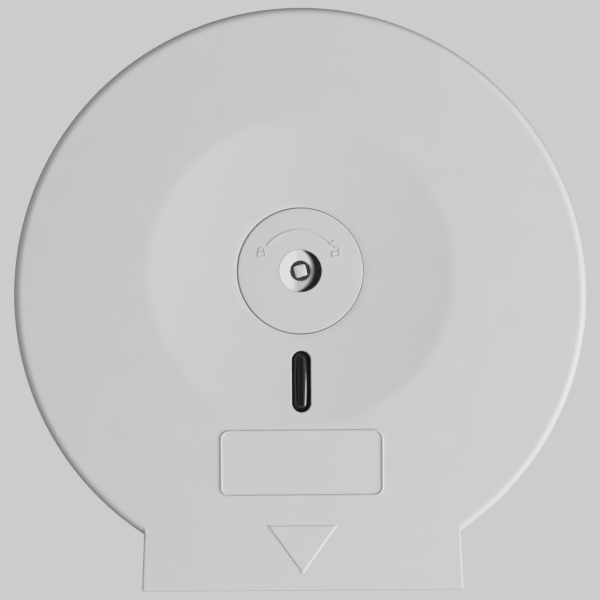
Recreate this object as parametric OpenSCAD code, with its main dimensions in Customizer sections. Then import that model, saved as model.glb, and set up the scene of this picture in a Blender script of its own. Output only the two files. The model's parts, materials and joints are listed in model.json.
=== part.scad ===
// Jumbo toilet roll dispenser: a round wall casing with a chute below it, a hinged cover,
// a turning hub for the roll, and a key lock on the hub's axis.
// Millimetres. X is to the right, Z is up, and the wall is the plane Y = 0 behind the part.
// The origin is on the roll's axis, where it meets the wall.
// The modules draw in wall axes: x right, y up, z out from the wall. on_wall() stands them up.

/* [Casing] */
// Diameter of the round casing at its front rim
case_d = 270; // [255:1:300]
// Depth from the wall to the top of the front's dome
case_depth = 120; // [112:1:135]
// Height of the roll's axis above the centre of the round casing
axis_rise = 11; // [6:1:14]
// Thickness of the moulded walls
wall = 2.5; // [2:0.1:3]
// Radius of the curve round the front rim
rim_r = 4; // [3.5:0.1:5]
// Gain in radius from the front rim back to the wall
case_draft = 1; // [0.5:0.1:1.5]
// Radius of the ball that the front's dome is part of
dome_ball_r = 1900; // [1600:50:2400]

/* [Dish] */
// Radius of the ball that the dish round the lock is part of
dish_ball_r = 930; // [850:10:1100]
// How far the dish's middle lies behind the top of the dome
dish_sink = 4.2; // [3.6:0.1:4.6]
// Height of the dish's own axis above the roll's axis
dish_rise = 4; // [2:0.5:6]

/* [Chute] */
// Width of the chute at its mouth
chute_w = 151.5; // [140:0.5:160]
// Angle of the chute's sides from upright
chute_flare = 2.6; // [1.5:0.1:3.5]
// How far the mouth lies below the round casing
chute_below = 4.5; // [3:0.5:8]
// Width of the ledges that carry the tear strips
ledge_w = 12; // [11:0.5:14]
// Width of the chute's floor between the mouth and the front
ledge_front = 4; // [3:0.5:8]

/* [Sight window] */
// Width of the window slot
window_w = 9; // [7:0.5:10]
// Height of the window slot
window_h = 29; // [26:0.5:31]
// Distance from the lock's axis down to the window's middle
window_drop = 52; // [51:0.5:53]
// Thickness of the lens's flange
lens_flange_t = 1.4; // [1:0.1:1.8]
// How far the top of the lens lies behind the surface of the cover
lens_recess = 0.1; // [0:0.05:0.5]
// Radius of the lens's bow along the slot
lens_bow_r = 60; // [50:1:90]

/* [Relief on the cover] */
// Width of the bead round the label space
label_w = 77; // [60:1:90]
// Height of the bead round the label space
label_h = 31.5; // [24:0.5:32]
// Distance from the lock's axis down to the label's middle
label_drop = 90.5; // [90:0.5:94]
// Width of the bead
bead_w = 1; // [0.6:0.1:1.6]
// Height that the bead and the arrow stand proud
relief_h = 0.6; // [0.3:0.1:1]
// Width of the arrow that points to the mouth
arrow_w = 33; // [24:1:40]
// Height of the arrow
arrow_h = 23.5; // [18:0.5:26]
// Distance from the arrow's tip down to the mouth
arrow_tip_above = 7.5; // [5:0.5:12]

/* [Roll spindle] */
// Outside diameter of the fixed post
post_d = 40; // [38:0.5:42]
// Thickness of the post's wall
post_wall = 2.5; // [2:0.1:2.8]
// Thickness of the turning hub's wall
hub_wall = 2.42; // [2:0.1:3.2]
// Diameter of the hub's rear flange
hub_flange_d = 66; // [58:1:74]
// Diameter of the post's foot
foot_d = 66; // [62:1:72]
// Thickness of the post's foot
foot_t = 6; // [5:0.5:8]

/* [Lock] */
// Diameter of the lock's bezel
bezel_d = 60; // [56:0.5:62]
// How far the bezel's middle stands above its edge
bezel_crown = 0.3; // [0.1:0.05:0.4]
// Diameter of the key cup's bowl at its mouth
cup_d = 20; // [18:0.5:22]
// Depth of the key cup's bowl
cup_depth = 4; // [3.5:0.1:4.5]
// Width of the lip round the bowl
cup_lip = 0.3; // [0.2:0.05:0.6]
// Diameter of the key hole at the cup's bottom
key_hole_d = 9.6; // [9:0.1:10.5]
// Side of the square that the key turns
key_square = 6; // [5:0.1:6.3]
// Turn of the key square at rest
key_square_turn = 15; // [0:5:45]
// Diameter of the lock core's journal
core_d = 12; // [11:0.1:13]
// Length of the cam
cam_l = 20; // [18:0.5:20.5]
// Width of the cam
cam_w = 7; // [6:0.1:8]
// Thickness of the cam
cam_t = 4; // [3:0.1:5]
// Thickness of the striker's front plate
striker_t = 3; // [2.5:0.1:4]

/* [Back plate] */
// Thickness of the back plate
plate_t = 3; // [2.5:0.1:4]
// Distance across between the wall slots
wall_hole_dx = 150; // [130:1:160]
// Distance up between the wall slots
wall_hole_dz = 120; // [100:1:130]
// Width of a wall slot
wall_slot_w = 5.5; // [4.5:0.1:6.5]
// Length of a wall slot
wall_slot_l = 12; // [9:0.5:15]
// Height of the back plate's stiffening ribs
rib_h = 3; // [2:0.5:4]

/* [Hinge] */
// Diameter of the hinge pins
hinge_pin_d = 5; // [4:0.1:5.5]
// Distance from the wall to the hinge's axis
hinge_out = 14; // [14:0.1:16]
// Distance from the mouth up to the hinge's axis
hinge_up = 9.5; // [9:0.1:10]

/* [Tear strips] */
// Length of a tear strip
strip_l = 78; // [60:3:78]
// Thickness of a tear strip
strip_t = 1; // [0.8:0.1:1.4]
// Distance from tooth to tooth
tooth_pitch = 3; // [2:0.5:4]
// Height of the teeth
tooth_h = 2.5; // [1.5:0.1:3]

/* [Clearances] */
// Radial gap of a turning fit
run_gap = 0.08; // [0.05:0.01:0.1]
// Gap between pieces that are fitted into each other
fit_gap = 0.2; // [0.15:0.05:0.3]
// Gap of the seam between the cover and the back plate
seam_gap = 0.3; // [0.2:0.1:0.6]

/* [Hidden] */
$fn = 96;
BALL_FN = 360;
HULL_FN = 32;
EPS = 0.01;

white_abs = [0.80, 0.80, 0.80];
grey_abs = [0.62, 0.63, 0.64];
smoke = [0.10, 0.10, 0.11];
zinc = [0.72, 0.72, 0.74];
steel = [0.58, 0.59, 0.60];
nylon = [0.90, 0.89, 0.85];

// Casing
case_r = case_d / 2;
back_r = case_r + case_draft;
case_y = -axis_rise;
mouth_y = case_y - case_r - chute_below;
dome_z = case_depth - dome_ball_r;
rim_c = [case_r - rim_r, dome_z + sqrt(pow(dome_ball_r - rim_r, 2) - pow(case_r - rim_r, 2))];
dish_floor = case_depth - dish_sink;
cover_back = plate_t + seam_gap;
chute_top_y = case_y - case_r / 2;
mouth_half = chute_half(mouth_y) - wall - ledge_w;
mouth_front = dome_at(case_y - mouth_y) - wall - ledge_front;

// Lock, from the cover's face back towards the wall
bezel_t = 2.2;
bezel_inset = 1.3;
bezel_r = bezel_d / 2;
bezel_seat = dish_floor - bezel_inset;
bezel_face = bezel_seat + bezel_t;
bezel_gap = 0.3;
pad_t = 3;
pad_r = bezel_r + 2;
pad_back = bezel_seat - pad_t;
cup_r = cup_d / 2 + cup_lip;
cup_floor_t = 1;
cup_back = bezel_face - cup_depth - cup_floor_t;
press_gap = 0.05;
spigot_r = cup_r + 2.7;
spigot_reach = 5.5;
spigot_end = pad_back - spigot_reach;
housing_flange_t = 3;
housing_flange_r = 28;
housing_tube_r = spigot_r + 2.5;
core_flange_r = 8.3;
core_flange_t = 1.8;
core_front = spigot_end - fit_gap;
spring_room = 2;
chamber_floor = core_front - core_flange_t - spring_room;
journal_l = 3.5;
housing_end = chamber_floor - journal_l;
boss_ring_r = 21;
boss_r = 3.5;
boss_angles = [90, 210, 330];
key_square_rise = 0.5;
key_square_front = bezel_face - cup_depth + key_square_rise;
neck_r = 3.5;
tang_w = 5;
lug_r = 10.4;
lug_half = 12;
lock_turn = 90;

// Striker and spindle, from the lock back towards the wall
lock_air = 1.5;
cam_air = 0.5;
cap_room = 5.5;
striker_front = housing_end - lock_air;
cam_front = striker_front - striker_t - cam_air;
cam_back = cam_front - cam_t;
post_end = cam_back - cap_room;
post_r = post_d / 2;
post_bore_r = post_r - post_wall;
hub_bore_r = post_r + run_gap;
hub_r = hub_bore_r + hub_wall;
foot_front = plate_t + foot_t;
washer_t = 0.8;
hub_back = foot_front + washer_t + 2 * fit_gap;
hub_flange_t = 2.5;
cap_step = 0.3;
hub_front = post_end - cap_step;
cap_r = hub_r - cap_step;
cap_wall = 4.2;
cap_cavity_r = cap_r - cap_wall;
pillar_r = 3;
pillar_x = cap_cavity_r - pillar_r - 0.4;
slot_side_gap = 0.4;
slot_end_gap = 1;
slot_swing = 6.5;
striker_slot_w = cam_w + 2 * slot_side_gap;
striker_slot_up = cam_l / 2 + slot_end_gap;
striker_slot_down = striker_slot_up + slot_swing;
foot_screw_ring_r = (post_r + foot_d / 2) / 2;
foot_screw_angles = [45, 135, 225, 315];

// Screws: [shank radius, head radius, head height]
foot_screw = [2, 4, 2.2];
small_screw = [1.5, 2.8, 2];
striker_screw_grip = 6;

// Hinge
hinge_y = mouth_y + hinge_up;
ear_r = 6;
ear_w = 6;
ear_room = 2;
eye_gap = 0.7;
eye_r = 5;
eye_l = 6;
eye_in_x = chute_half(hinge_y) - wall - eye_l;
ear_out_x = eye_in_x - eye_gap;
pin_head_t = 2;
eye_bore_deep = eye_l - 0.4;
ledge_back = hinge_out + ear_r + ear_room;

// Tear strips
strip_inset = 0.5;
strip_w = ledge_w - 4 * strip_inset;
strip_back = ledge_back + 3;
ledge_top = mouth_y + wall;
rivet_r = 1.3;
rivet_head_r = 2.4;
rivet_head_t = 1.2;
rivet_inset = 4.5;
rivet_from_end = 6;
rivet_count = 3;

// Distance from the wall to the dome, at a distance from the casing's centre
function dome_at(r) = dome_z + sqrt(pow(dome_ball_r, 2) - r * r);
// Distance from the wall to the dish, at a distance from the dish's axis
function dish_at(r) = dish_floor + dish_ball_r - sqrt(pow(dish_ball_r, 2) - r * r);
// Half the chute's width at a height
function chute_half(y) = chute_w / 2 - (y - mouth_y) * tan(chute_flare);
// How far apart the rivets of a strip are
function rivet_at(i) = strip_back + rivet_from_end + i * (strip_l - 2 * rivet_from_end) / (rivet_count - 1);
// Radius of the ball that a cap of a given radius and height is cut from
function ball_of_cap(r, h) = (r * r + h * h) / (2 * h);

// ---- Shared shapes ----

module on_wall() rotate([90, 0, 0]) children();

// A flat shape with round ends, long across x
module slot_2d(length, width) {
    straight = length - width;
    square([straight, width], center = true);
    for (side = [-1, 1])
        translate([side * straight / 2, 0]) circle(d = width);
}

module rounded_2d(w, h, r) {
    square([w - 2 * r, h], center = true);
    square([w, h - 2 * r], center = true);
    for (x = [-1, 1], y = [-1, 1])
        translate([x * (w / 2 - r), y * (h / 2 - r)]) circle(r);
}

module ring(r_out, r_in, z0, z1) {
    translate([0, 0, z0]) difference() {
        cylinder(r = r_out, h = z1 - z0);
        translate([0, 0, -1]) cylinder(r = r_in, h = z1 - z0 + 2);
    }
}

module disc(r, z0, z1) {
    translate([0, 0, z0]) cylinder(r = r, h = z1 - z0);
}

// A pan-head screw whose head sits on z = 0 and whose shank points to +z
module pan_screw(size, length) {
    difference() {
        union() {
            translate([0, 0, -size[2]]) cylinder(r = size[1], h = size[2]);
            translate([0, 0, -EPS]) cylinder(r = size[0], h = length + EPS);
        }
        for (turn = [0, 90])
            rotate(turn) translate([0, 0, -size[2]])
                cube([size[1] * 1.3, size[1] * 0.25, size[2]], center = true);
    }
}

// A countersunk screw whose head ends flush at z = 0 and whose shank points to +z
module flat_screw(size, length) {
    difference() {
        union() {
            cylinder(r1 = size[1], r2 = size[0], h = size[2]);
            cylinder(r = size[0], h = length);
        }
        for (turn = [0, 90])
            rotate(turn) cube([size[1] * 1.2, size[1] * 0.25, size[2]], center = true);
    }
}

module around(ring_r, angles) {
    for (a = angles)
        rotate(a) translate([ring_r, 0, 0]) children();
}

module at_wall_slots() {
    for (x = [-1, 1], y = [-1, 1])
        translate([x * wall_hole_dx / 2, y * wall_hole_dz / 2, 0]) children();
}

// ---- The casing's outer form ----

module dome_ball(inset) {
    translate([0, case_y, dome_z]) sphere(dome_ball_r - inset, $fn = BALL_FN);
}

module dish_ball(inset) {
    translate([0, dish_rise, dish_floor + dish_ball_r]) sphere(dish_ball_r + inset, $fn = BALL_FN);
}

// Half section of the round casing, inset by a wall, from z = back to the dome
module case_profile(inset, back) {
    touch_r = rim_c[0] * (dome_ball_r - inset) / (dome_ball_r - rim_r);
    polygon([[0, back], [back_r - inset, back], [case_r - inset, rim_c[1]], [0, rim_c[1]]]);
    translate(rim_c) circle(rim_r - inset);
    intersection() {
        translate([0, dome_z]) circle(dome_ball_r - inset, $fn = BALL_FN);
        translate([0, rim_c[1] - 1]) square([touch_r, case_depth]);
    }
}

module chute_outline(inset, floor_inset) {
    low = mouth_y + floor_inset;
    side = inset / cos(chute_flare);
    polygon([for (s = [-1, 1], y = s < 0 ? [chute_top_y, low] : [low, chute_top_y])
             [s * (chute_half(y) - side), y]]);
}

module casing(inset, floor_inset, back) {
    translate([0, case_y, 0]) rotate_extrude() case_profile(inset, back);
    intersection() {
        translate([0, 0, back]) linear_extrude(case_depth) chute_outline(inset, floor_inset);
        dome_ball(inset);
    }
}

// ---- Front cover ----

module cover_shell() {
    difference() {
        casing(0, 0, cover_back);
        dish_ball(0);
        difference() {
            casing(wall, wall, cover_back - 1);
            dish_ball(wall);
        }
    }
}

// A raised line or plate that follows the dome
module relief() {
    intersection() {
        linear_extrude(case_depth + relief_h) children();
        difference() {
            dome_ball(-relief_h);
            dome_ball(wall / 2);
        }
    }
}

module label_bead_2d() {
    corner = 4.5;
    translate([0, -label_drop]) difference() {
        rounded_2d(label_w, label_h, corner);
        rounded_2d(label_w - 2 * bead_w, label_h - 2 * bead_w, corner - bead_w);
    }
}

module arrow_2d() {
    tip_y = mouth_y + arrow_tip_above;
    polygon([[0, tip_y], [arrow_w / 2, tip_y + arrow_h], [-arrow_w / 2, tip_y + arrow_h]]);
}

// The window's own frame: origin on the dish's surface, z along the surface's outward normal
module at_window() {
    r = window_drop + dish_rise;
    translate([0, -window_drop, dish_at(r)]) rotate([-asin(r / dish_ball_r), 0, 0]) children();
}

lens_seat = -(wall + 0.6);
lens_flange_h = window_h + 5;
lens_flange_w = window_w + 5;
lens_ear_w = 7;
lens_peg_x = lens_flange_w / 2 + 2.6;
lens_peg_r = 1.25;
lens_ear_l = 2 * lens_peg_x + lens_ear_w;

module lens_flange_2d(grow) {
    rotate(90) slot_2d(lens_flange_h + 2 * grow, lens_flange_w + 2 * grow);
    slot_2d(lens_ear_l + 2 * grow, lens_ear_w + 2 * grow);
}

module window_seat() {
    at_window() {
        translate([0, 0, lens_seat]) linear_extrude(-lens_seat - wall / 2) lens_flange_2d(1);
        for (side = [-1, 1])
            translate([side * lens_peg_x, 0, lens_seat - lens_flange_t - 1.4])
                cylinder(r = lens_peg_r, h = lens_flange_t + 2);
    }
}

module window_slot() {
    at_window() translate([0, 0, -3 * wall]) linear_extrude(6 * wall)
        rotate(90) slot_2d(window_h, window_w);
}

module lock_pad() {
    pad_rib_reach = 62;
    disc(pad_r, pad_back, bezel_seat + 0.5);
    for (a = [30, 90, 150, 210, 330])
        rotate(a) translate([pad_r - 1, -0.9, pad_back + 0.8])
            cube([pad_rib_reach - pad_r, 1.8, pad_t]);
}

module lock_opening() {
    translate([0, 0, bezel_seat]) cylinder(r = bezel_r + bezel_gap, h = dish_sink + bezel_inset);
    disc(spigot_r + fit_gap, pad_back - 1, bezel_seat + 1);
    around(boss_ring_r, boss_angles) disc(boss_r + fit_gap, pad_back - 1, bezel_seat + 1);
}

// Both sides of the hinge's eyes, on the inside of the chute's side walls
module hinge_eyes() {
    out_x = chute_half(hinge_y) - wall / 2;
    for (s = [-1, 1])
        translate([s * eye_in_x, hinge_y, hinge_out]) rotate([0, s * 90, 0])
            cylinder(r = eye_r, h = out_x - eye_in_x);
}

module hinge_bores() {
    for (s = [-1, 1])
        translate([s * (eye_in_x - 1), hinge_y, hinge_out]) rotate([0, s * 90, 0])
            cylinder(r = hinge_pin_d / 2 + run_gap, h = eye_bore_deep + 1);
}

// Rounds the lower back corner of the chute's sides about the hinge, so that it clears the plate
module hinge_corner_cut() {
    reach = 2 * hinge_out;
    depth = 8 * wall;
    for (s = [-1, 1])
        difference() {
            translate([s * chute_w / 2 - depth / 2, hinge_y - reach, hinge_out - reach])
                cube([depth, reach, reach]);
            translate([s * chute_w / 2, hinge_y, hinge_out]) rotate([0, 90, 0])
                cylinder(r = hinge_up, h = depth + 2, center = true);
        }
}

module mouth_opening() {
    full = chute_half(mouth_y) - wall;
    translate([-mouth_half, mouth_y - 1, 0]) cube([2 * mouth_half, wall + 2, mouth_front]);
    translate([-full, mouth_y - 1, 0]) cube([2 * full, wall + 1, ledge_back]);
}

module at_rivets(side) {
    for (i = [0 : rivet_count - 1])
        translate([side * (mouth_half + rivet_inset), ledge_top, rivet_at(i)])
            rotate([90, 0, 0]) children();
}

module front_cover() {
    on_wall() color(white_abs) difference() {
        union() {
            cover_shell();
            lock_pad();
            window_seat();
            relief() label_bead_2d();
            relief() arrow_2d();
            hinge_eyes();
        }
        lock_opening();
        window_slot();
        mouth_opening();
        hinge_bores();
        hinge_corner_cut();
        for (side = [-1, 1])
            at_rivets(side) cylinder(r = rivet_r + 0.05, h = 3 * wall, center = true);
    }
}

// ---- Sight window ----

// Half section of the lens's crown along its long axis: one bowed side and a round at each end
module lens_profile(r, half_l) {
    bow_x = lens_bow_r - r;
    short = lens_bow_r - half_l;
    end_y = (bow_x * bow_x - short * short) / (2 * short);
    end_r = half_l - end_y;
    touch_y = end_y * lens_bow_r / (lens_bow_r - end_r);
    intersection() {
        translate([-bow_x, 0]) circle(lens_bow_r, $fn = BALL_FN);
        translate([0, -touch_y]) square([2 * r, 2 * touch_y]);
    }
    for (end = [-1, 1])
        intersection() {
            translate([0, end * end_y]) circle(end_r);
            translate([0, -half_l]) square([2 * r, 2 * half_l]);
        }
}

module window_lens() {
    body_r = window_w / 2 - fit_gap;
    on_wall() color(smoke) at_window() {
        intersection() {
            translate([0, 0, -lens_recess - body_r]) rotate([90, 0, 0])
                rotate_extrude() lens_profile(body_r, window_h / 2 - fit_gap);
            translate([-window_w / 2, -window_h / 2, lens_seat - lens_flange_t / 2])
                cube([window_w, window_h, 2 * wall]);
        }
        translate([0, 0, lens_seat - lens_flange_t]) difference() {
            linear_extrude(lens_flange_t) lens_flange_2d(0);
            for (side = [-1, 1])
                translate([side * lens_peg_x, 0, -1])
                    cylinder(r = lens_peg_r + 0.1, h = lens_flange_t + 2);
        }
    }
}

module window_clips() {
    on_wall() color(steel) at_window()
        for (side = [-1, 1])
            translate([side * lens_peg_x, 0, lens_seat - lens_flange_t])
                ring(3.1, lens_peg_r + 0.02, -0.55, -0.05);
}

// ---- Lock ----

// Half section of the bezel's plate, with its crowned face and chamfered edge
module bezel_profile() {
    edge = 0.6;
    steps = 6;
    crown_ball_r = ball_of_cap(bezel_r, bezel_crown);
    face_r = bezel_r - edge;
    polygon(concat([[0, bezel_seat], [bezel_r, bezel_seat], [bezel_r, bezel_face - bezel_crown - edge]],
                   [for (i = [steps : -1 : 0])
                    let (r = face_r * i / steps)
                    [r, bezel_face - crown_ball_r + sqrt(pow(crown_ball_r, 2) - r * r)]]));
}

module lock_bezel() {
    on_wall() color(white_abs) difference() {
        union() {
            rotate_extrude() bezel_profile();
            disc(spigot_r, spigot_end, bezel_seat + EPS);
            around(boss_ring_r, boss_angles) disc(boss_r, pad_back, bezel_seat + EPS);
        }
        disc(cup_r + press_gap, cup_back, bezel_face + 1);
        disc(key_hole_d / 2, spigot_end - 1, bezel_face);
        around(boss_ring_r, boss_angles)
            disc(small_screw[0] + 0.02, pad_back - 1, bezel_seat + 0.8);
    }
}

// The metal cup that leads the key to the square, pressed into the bezel
module key_cup() {
    bowl_ball_r = ball_of_cap(cup_d / 2, cup_depth);
    on_wall() color(zinc) difference() {
        disc(cup_r, cup_back, bezel_face);
        translate([0, 0, bezel_face - cup_depth + bowl_ball_r]) sphere(bowl_ball_r);
        disc(key_hole_d / 2, cup_back - 1, bezel_face);
    }
}

module lock_housing() {
    tube_bore_r = spigot_r + fit_gap;
    sector = lock_turn + 2 * lug_half + 4;
    on_wall() color(grey_abs) difference() {
        union() {
            disc(housing_flange_r, pad_back - housing_flange_t, pad_back);
            disc(housing_tube_r, housing_end, pad_back);
        }
        disc(tube_bore_r, core_front - core_flange_t, pad_back + 1);
        disc(core_flange_r + 0.6, chamber_floor, pad_back);
        disc(core_d / 2 + run_gap, housing_end - 1, pad_back);
        around(boss_ring_r, boss_angles)
            disc(small_screw[0] + 0.2, pad_back - housing_flange_t - 1, pad_back + 1);
    }
    // The step that the core's lug meets at each end of its turn
    on_wall() color(grey_abs) difference() {
        ring(tube_bore_r + EPS, core_flange_r + 0.6, core_front - core_flange_t - EPS, spigot_end - 0.1);
        rotate(90 - lug_half - 2)
            rotate_extrude(angle = sector)
                translate([0, core_front - core_flange_t - 1]) square([lug_r + 0.4, 2 * core_flange_t + 1]);
    }
}

module housing_screws() {
    on_wall() color(steel) around(boss_ring_r, boss_angles)
        translate([0, 0, pad_back - housing_flange_t]) pan_screw(small_screw, housing_flange_t + pad_t);
}

// A spring ring whose height goes round in waves
module wave_washer() {
    waves = 3;
    steps = 12 * waves;
    t = 0.4;
    low = chamber_floor + 0.05;
    rise = core_front - core_flange_t - 0.05 - t - low;
    r_in = core_d / 2 + 0.4;
    r_out = core_flange_r - 0.1;
    points = [for (i = [0 : steps - 1])
              let (a = i * 360 / steps, z = low + rise * (1 + sin(waves * a)) / 2)
              each [for (c = [[r_in, z], [r_out, z], [r_out, z + t], [r_in, z + t]])
                    [c[0] * cos(a), c[0] * sin(a), c[1]]]];
    faces = [for (i = [0 : steps - 1], k = [0 : 3])
             let (a = 4 * i, b = 4 * ((i + 1) % steps), n = (k + 1) % 4)
             each [[a + k, b + k, b + n], [a + k, b + n, a + n]]];
    on_wall() color(steel) polyhedron(points, [for (f = faces) [f[2], f[1], f[0]]]);
}

// The key square, flange, lug, journal, neck and tang, all one turned and milled piece
module lock_core() {
    on_wall() color(zinc) difference() {
        union() {
            rotate(key_square_turn) translate([0, 0, (key_square_front + core_front) / 2 - 0.25])
                cube([key_square, key_square, key_square_front - core_front + 0.5], center = true);
            disc(core_flange_r, core_front - core_flange_t, core_front);
            intersection() {
                disc(lug_r, core_front - core_flange_t, core_front);
                rotate(90) linear_extrude(case_depth)
                    polygon([[0, 0], 2 * lug_r * [cos(lug_half), -sin(lug_half)],
                             2 * lug_r * [cos(lug_half), sin(lug_half)]]);
            }
            disc(core_d / 2, housing_end - 0.5, core_front - EPS);
            disc(neck_r, cam_front, housing_end);
            translate([0, 0, (cam_front + cam_back) / 2 + 0.25])
                cube([tang_w, tang_w, cam_t + 0.5], center = true);
        }
        disc(small_screw[0] + 0.02, cam_back - 1, cam_front + 3);
    }
}

module lock_cam() {
    on_wall() color(zinc) translate([0, 0, cam_back]) difference() {
        linear_extrude(cam_t) rotate(90) rounded_2d(cam_l, cam_w, 1.5);
        translate([0, 0, cam_t / 2]) cube([tang_w + 0.1, tang_w + 0.1, cam_t + 1], center = true);
    }
}

cam_washer_t = 0.6;

module cam_washer() {
    on_wall() color(steel) ring(3.3, small_screw[0] + 0.1, cam_back - cam_washer_t, cam_back);
}

module cam_screw() {
    on_wall() color(steel) translate([0, 0, cam_back - cam_washer_t])
        pan_screw(small_screw, cam_t + 2.4);
}

// ---- Tear strips ----

// A strip with teeth towards -x, from y = 0 to its length
module strip_2d() {
    teeth = floor(strip_l / tooth_pitch);
    polygon(concat([[strip_w, 0]],
                   [for (i = [0 : teeth - 1], p = [[0, 0], [-tooth_h, tooth_pitch / 2]])
                    [p[0], i * tooth_pitch + p[1]]],
                   [[0, teeth * tooth_pitch], [0, strip_l], [strip_w, strip_l]]));
}

module tear_strip(side) {
    on_wall() color(steel) difference() {
        translate([0, ledge_top + strip_t, strip_back]) rotate([90, 0, 0]) linear_extrude(strip_t)
            mirror([side < 0 ? 1 : 0, 0]) translate([mouth_half + strip_inset, 0]) strip_2d();
        at_rivets(side) cylinder(r = rivet_r + 0.05, h = 4 * strip_t, center = true);
    }
}

module strip_rivets(side) {
    on_wall() color(nylon) at_rivets(side) {
        translate([0, 0, -strip_t]) mirror([0, 0, 1])
            cylinder(r1 = rivet_head_r, r2 = rivet_head_r - 0.8, h = rivet_head_t);
        translate([0, 0, -strip_t - EPS]) cylinder(r = rivet_r, h = strip_t + wall - 0.2);
    }
}

// ---- Back plate ----

module plate_2d() {
    translate([0, case_y]) circle(back_r - 0.5);
    chute_outline(0.5, 0);
}

module hinge_ears() {
    for (s = [-1, 1])
        translate([s * (ear_out_x - ear_w / 2), hinge_y, hinge_out]) {
            rotate([0, 90, 0]) cylinder(r = ear_r, h = ear_w, center = true);
            translate([-ear_w / 2, -ear_r, -hinge_out]) cube([ear_w, 2 * ear_r, hinge_out]);
        }
}

module plate_ribs() {
    reach = back_r - wall - 9.5;
    intersection() {
        for (a = [0 : 30 : 330])
            rotate(a) translate([foot_d / 2 + 2, -1, plate_t - EPS]) cube([2 * case_r, 2, rib_h]);
        translate([0, case_y, 0]) cylinder(r = reach, h = case_depth);
    }
    translate([0, case_y, 0]) ring(reach + 1, reach - 1, plate_t - EPS, plate_t + rib_h);
}

// The upright rim that the cover's skirt closes over
module plate_rim() {
    rim_out = back_r - wall - 1.2;
    open = 20;
    translate([0, case_y, 0]) rotate(-open)
        rotate_extrude(angle = 180 + 2 * open)
            translate([rim_out - 2, plate_t - EPS]) square([2, 8]);
}

module back_plate() {
    seat_h = 3;
    slot_pad_h = plate_t + rib_h;
    on_wall() color(grey_abs) difference() {
        union() {
            linear_extrude(plate_t) plate_2d();
            plate_ribs();
            plate_rim();
            ring(foot_d / 2 + 2.3, foot_d / 2 + 0.3, plate_t - EPS, plate_t + seat_h);
            at_wall_slots() linear_extrude(slot_pad_h) slot_2d(wall_slot_l + 8, wall_slot_w + 8);
            hinge_ears();
        }
        at_wall_slots() translate([0, 0, -1])
            linear_extrude(slot_pad_h + 2) slot_2d(wall_slot_l, wall_slot_w);
        around(foot_screw_ring_r, foot_screw_angles) {
            disc(foot_screw[0] + 0.2, -1, plate_t + 1);
            translate([0, 0, -EPS])
                cylinder(r1 = foot_screw[1] + 0.2, r2 = foot_screw[0] + 0.2, h = foot_screw[2]);
        }
        translate([0, hinge_y, hinge_out]) rotate([0, 90, 0])
            cylinder(r = hinge_pin_d / 2 + 0.01, h = chute_w, center = true);
    }
}

module hinge_pin(side) {
    tip = eye_in_x + eye_bore_deep - 0.4;
    head = ear_out_x - ear_w;
    on_wall() color(steel) translate([side * head, hinge_y, hinge_out]) rotate([0, side * 90, 0]) {
        translate([0, 0, -pin_head_t / 2]) cylinder(r = hinge_pin_d / 2, h = tip - head + pin_head_t / 2);
        translate([0, 0, -pin_head_t]) cylinder(r = hinge_pin_d / 2 + 1.5, h = pin_head_t);
    }
}

// ---- Spindle ----

module spindle_post() {
    end_t = 3;
    on_wall() color(grey_abs) difference() {
        union() {
            disc(foot_d / 2, plate_t, foot_front);
            disc(post_r, foot_front - EPS, post_end);
        }
        disc(post_bore_r, plate_t - 1, post_end - end_t - 8);
        difference() {
            disc(post_bore_r, post_end - end_t - 8 - EPS, post_end - end_t);
            for (s = [-1, 1])
                translate([s * pillar_x, 0, 0]) disc(pillar_r + 0.5, 0, case_depth);
        }
        around(foot_screw_ring_r, foot_screw_angles)
            disc(foot_screw[0] + 0.02, plate_t - 1, foot_front - 0.8);
        for (s = [-1, 1])
            translate([s * pillar_x, 0, 0])
                disc(small_screw[0] + 0.02, post_end - striker_screw_grip - 1, post_end + 1);
    }
}

module spindle_screws() {
    on_wall() color(steel) around(foot_screw_ring_r, foot_screw_angles)
        flat_screw(foot_screw, foot_front - 1.2);
}

module hub_washer() {
    on_wall() color(nylon)
        ring(post_r + 3, post_r + 0.15, foot_front + fit_gap, foot_front + fit_gap + washer_t);
}

// The turning sleeve that carries the roll's core
module roll_hub() {
    grooves = 8;
    groove_w = 2;
    on_wall() color(white_abs) difference() {
        union() {
            disc(hub_flange_d / 2, hub_back, hub_back + hub_flange_t);
            disc(hub_r, hub_back, hub_front - 1.5);
            translate([0, 0, hub_front - 1.5]) cylinder(r1 = hub_r, r2 = hub_r - 0.8, h = 1.5);
        }
        disc(hub_bore_r, hub_back - 1, hub_front + 1);
        for (i = [0 : grooves - 1])
            rotate((i + 0.5) * 360 / grooves)
                translate([hub_r - 0.7, -groove_w / 2, hub_back + hub_flange_t + 3])
                    cube([2, groove_w, hub_front]);
    }
}

// The hub's end stop: its slot lets the cam in upright and holds it when it lies across
module striker_cap() {
    head_r = small_screw[1] + 0.2;
    head_h = small_screw[2] + 0.3;
    slot_mid = (striker_slot_up - striker_slot_down) / 2;
    on_wall() color(grey_abs) difference() {
        union() {
            disc(cap_r, post_end, striker_front - 1);
            translate([0, 0, striker_front - 1]) cylinder(r1 = cap_r, r2 = cap_r - 1, h = 1);
        }
        difference() {
            disc(cap_cavity_r, post_end - 1, striker_front - striker_t);
            for (s = [-1, 1])
                translate([s * pillar_x, 0, 0]) disc(pillar_r, post_end - 2, striker_front);
        }
        translate([0, slot_mid, post_end - 1]) linear_extrude(case_depth)
            intersection() {
                square([striker_slot_w, striker_slot_up + striker_slot_down], center = true);
                translate([0, -slot_mid]) circle(cap_cavity_r);
            }
        for (s = [-1, 1])
            translate([s * pillar_x, 0, 0]) {
                disc(small_screw[0] + 0.2, post_end - 1, striker_front);
                disc(head_r, striker_front - head_h, striker_front + 1);
            }
    }
}

module striker_screws() {
    seat = striker_front - small_screw[2] - 0.3;
    on_wall() color(steel) for (s = [-1, 1])
        translate([s * pillar_x, 0, seat]) rotate([180, 0, 0])
            pan_screw(small_screw, seat - post_end + striker_screw_grip);
}

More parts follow.
